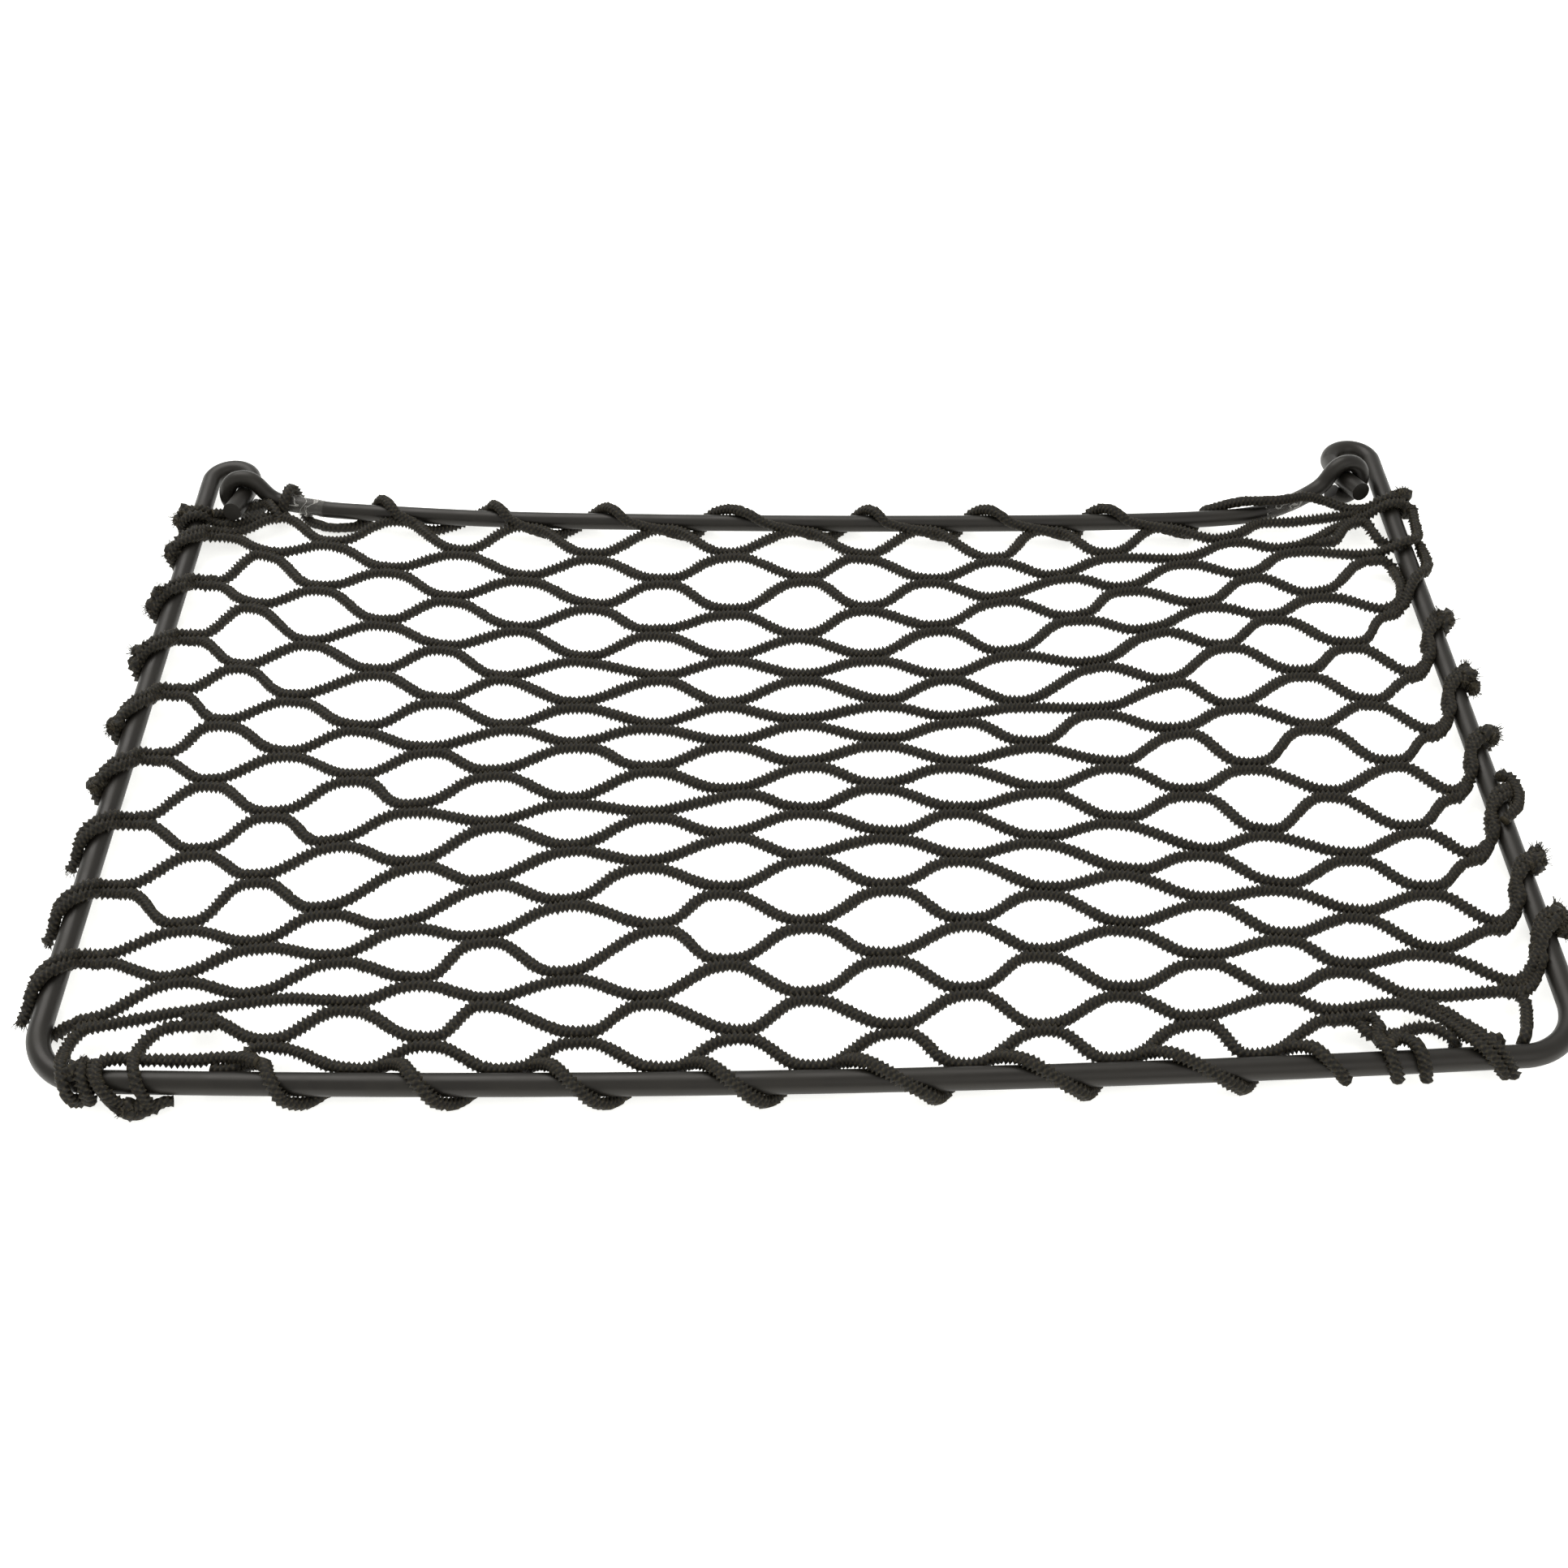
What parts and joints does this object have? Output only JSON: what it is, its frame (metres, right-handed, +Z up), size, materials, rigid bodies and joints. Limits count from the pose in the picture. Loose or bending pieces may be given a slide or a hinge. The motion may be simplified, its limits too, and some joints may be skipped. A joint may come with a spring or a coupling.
{
  "type": "storage net on a wire frame",
  "caption": "Flat U-shaped wire frame with hooked ends and a hinged-on back bar, filled by a laced knotless cord net.",
  "frame": {"origin": "under the middle of the part's outer box, on the surface that it lies on", "axes": "+X to the right along the front rod, +Y from the front rod to the back bar, +Z up from the surface"},
  "size_m": [0.4128, 0.2716, 0.0184],
  "materials": {
    "frame_coat": "satin black powder coat",
    "bar_coat": "satin black powder coat",
    "film": "clear film",
    "net_cord": "braided black cord, matte",
    "lacing_cord": "braided black cord, matte",
    "hitch_cord": "braided black cord, matte"
  },
  "bodies": {
    "root": {"frame_rod": "frame_coat", "back_bar": "bar_coat", "sleeve_left": "film", "sleeve_right": "film", "net": "net_cord", "lacing_back": "lacing_cord", "lacing_front": "lacing_cord", "hitch_left_side_1": "hitch_cord", "hitch_left_side_2": "hitch_cord", "hitch_left_side_3": "hitch_cord", "hitch_left_side_4": "hitch_cord", "hitch_left_side_5": "hitch_cord", "hitch_left_side_6": "hitch_cord", "hitch_left_side_7": "hitch_cord", "hitch_left_side_8": "hitch_cord", "hitch_left_side_9": "hitch_cord", "hitch_right_side_1": "hitch_cord", "hitch_right_side_2": "hitch_cord", "hitch_right_side_3": "hitch_cord", "hitch_right_side_4": "hitch_cord", "hitch_right_side_5": "hitch_cord", "hitch_right_side_6": "hitch_cord", "hitch_right_side_7": "hitch_cord", "hitch_right_side_8": "hitch_cord", "hitch_right_side_9": "hitch_cord", "hitch_left_1": "hitch_cord", "hitch_left_2": "hitch_cord", "hitch_right_1": "hitch_cord", "hitch_right_2": "hitch_cord", "hitch_right_3": "hitch_cord"}
  },
  "joints": []
}
